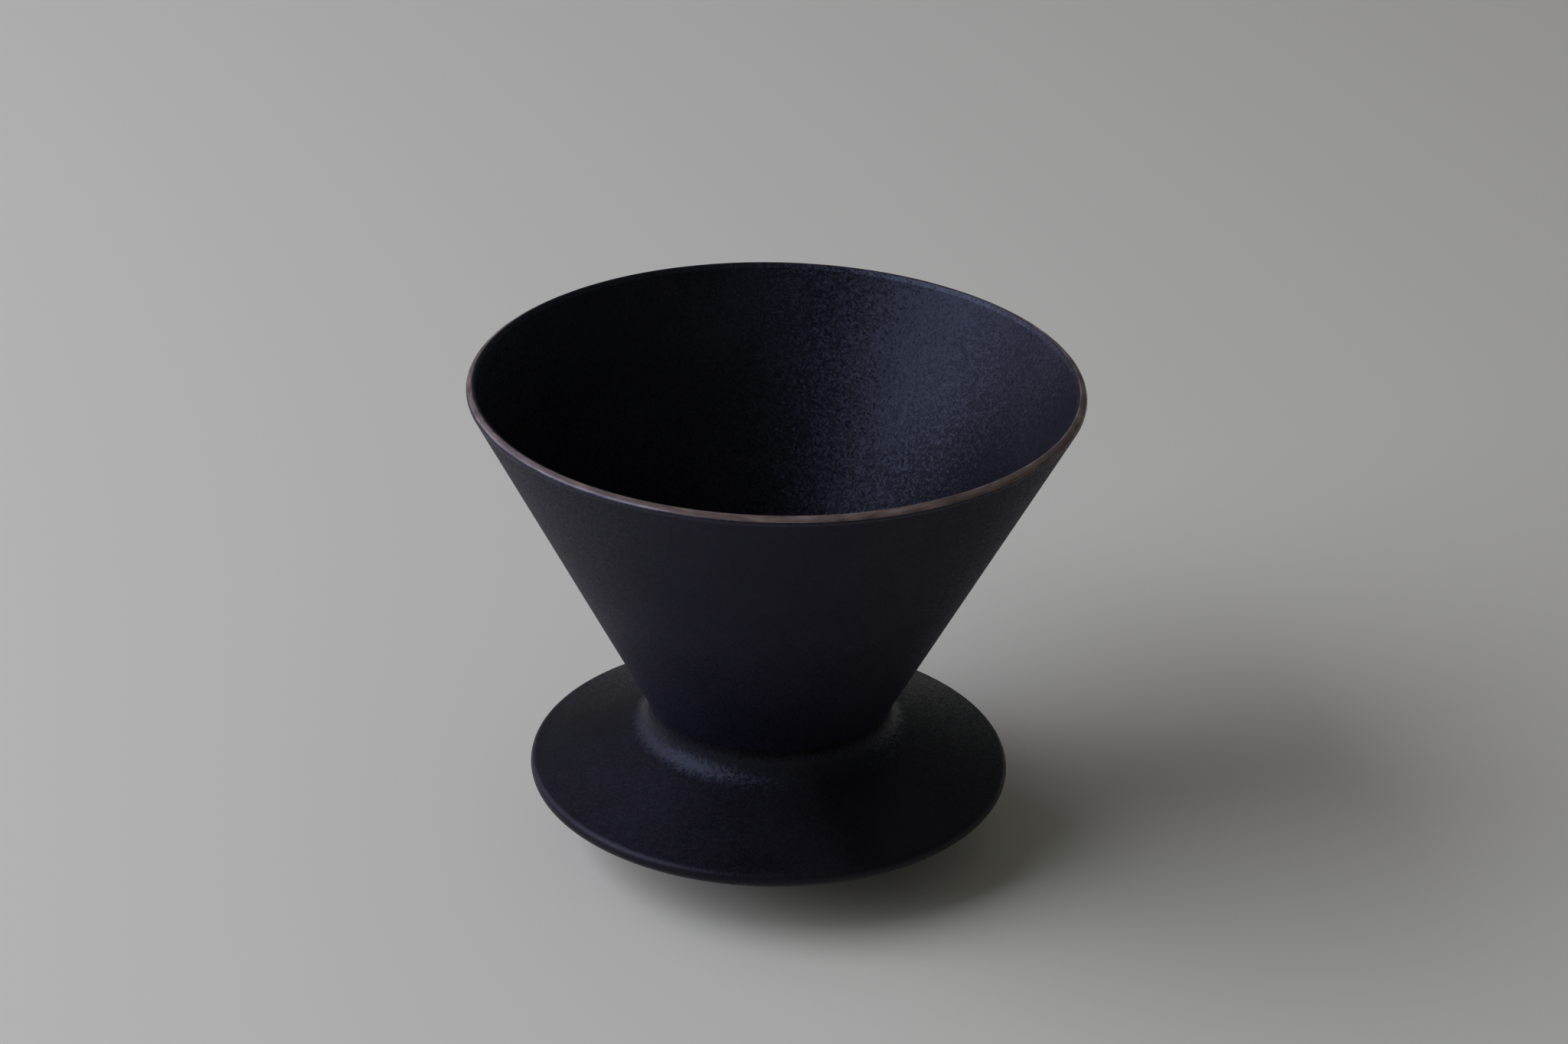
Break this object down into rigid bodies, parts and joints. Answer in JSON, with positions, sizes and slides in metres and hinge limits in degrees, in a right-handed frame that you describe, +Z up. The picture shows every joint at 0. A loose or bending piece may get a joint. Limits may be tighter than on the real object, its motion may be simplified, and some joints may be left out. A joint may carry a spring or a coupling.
{
  "type": "pour-over coffee dripper",
  "caption": "Pour-over coffee dripper in matt black glazed stoneware: a conical filter holder on a sloping saucer flange with a short locating foot ring.",
  "frame": {"origin": "on the axis, in the plane that the foot ring stands on (the middle of the bottom of the box)", "axes": "+Z up along the axis of revolution, from the foot to the lip; X and Y are across, with one filter rib on +X"},
  "size_m": [0.12, 0.12, 0.0991],
  "materials": {
    "black_glaze": "satin-matt blue-black stoneware glaze",
    "broken_glaze": "glaze broken thin to brown-grey on the rounded lip",
    "bare_clay": "unglazed dark stoneware where the foot stands, black glaze above"
  },
  "bodies": {
    "root": {"lip": "broken_glaze", "cone_wall": "black_glaze", "neck_coil": "black_glaze", "saucer": "black_glaze", "foot_ring": "bare_clay", "filter_rib_01": "black_glaze", "filter_rib_02": "black_glaze", "filter_rib_03": "black_glaze", "filter_rib_04": "black_glaze", "filter_rib_05": "black_glaze", "filter_rib_06": "black_glaze", "filter_rib_07": "black_glaze", "filter_rib_08": "black_glaze", "filter_rib_09": "black_glaze", "filter_rib_10": "black_glaze", "filter_rib_11": "black_glaze", "filter_rib_12": "black_glaze"}
  },
  "joints": []
}
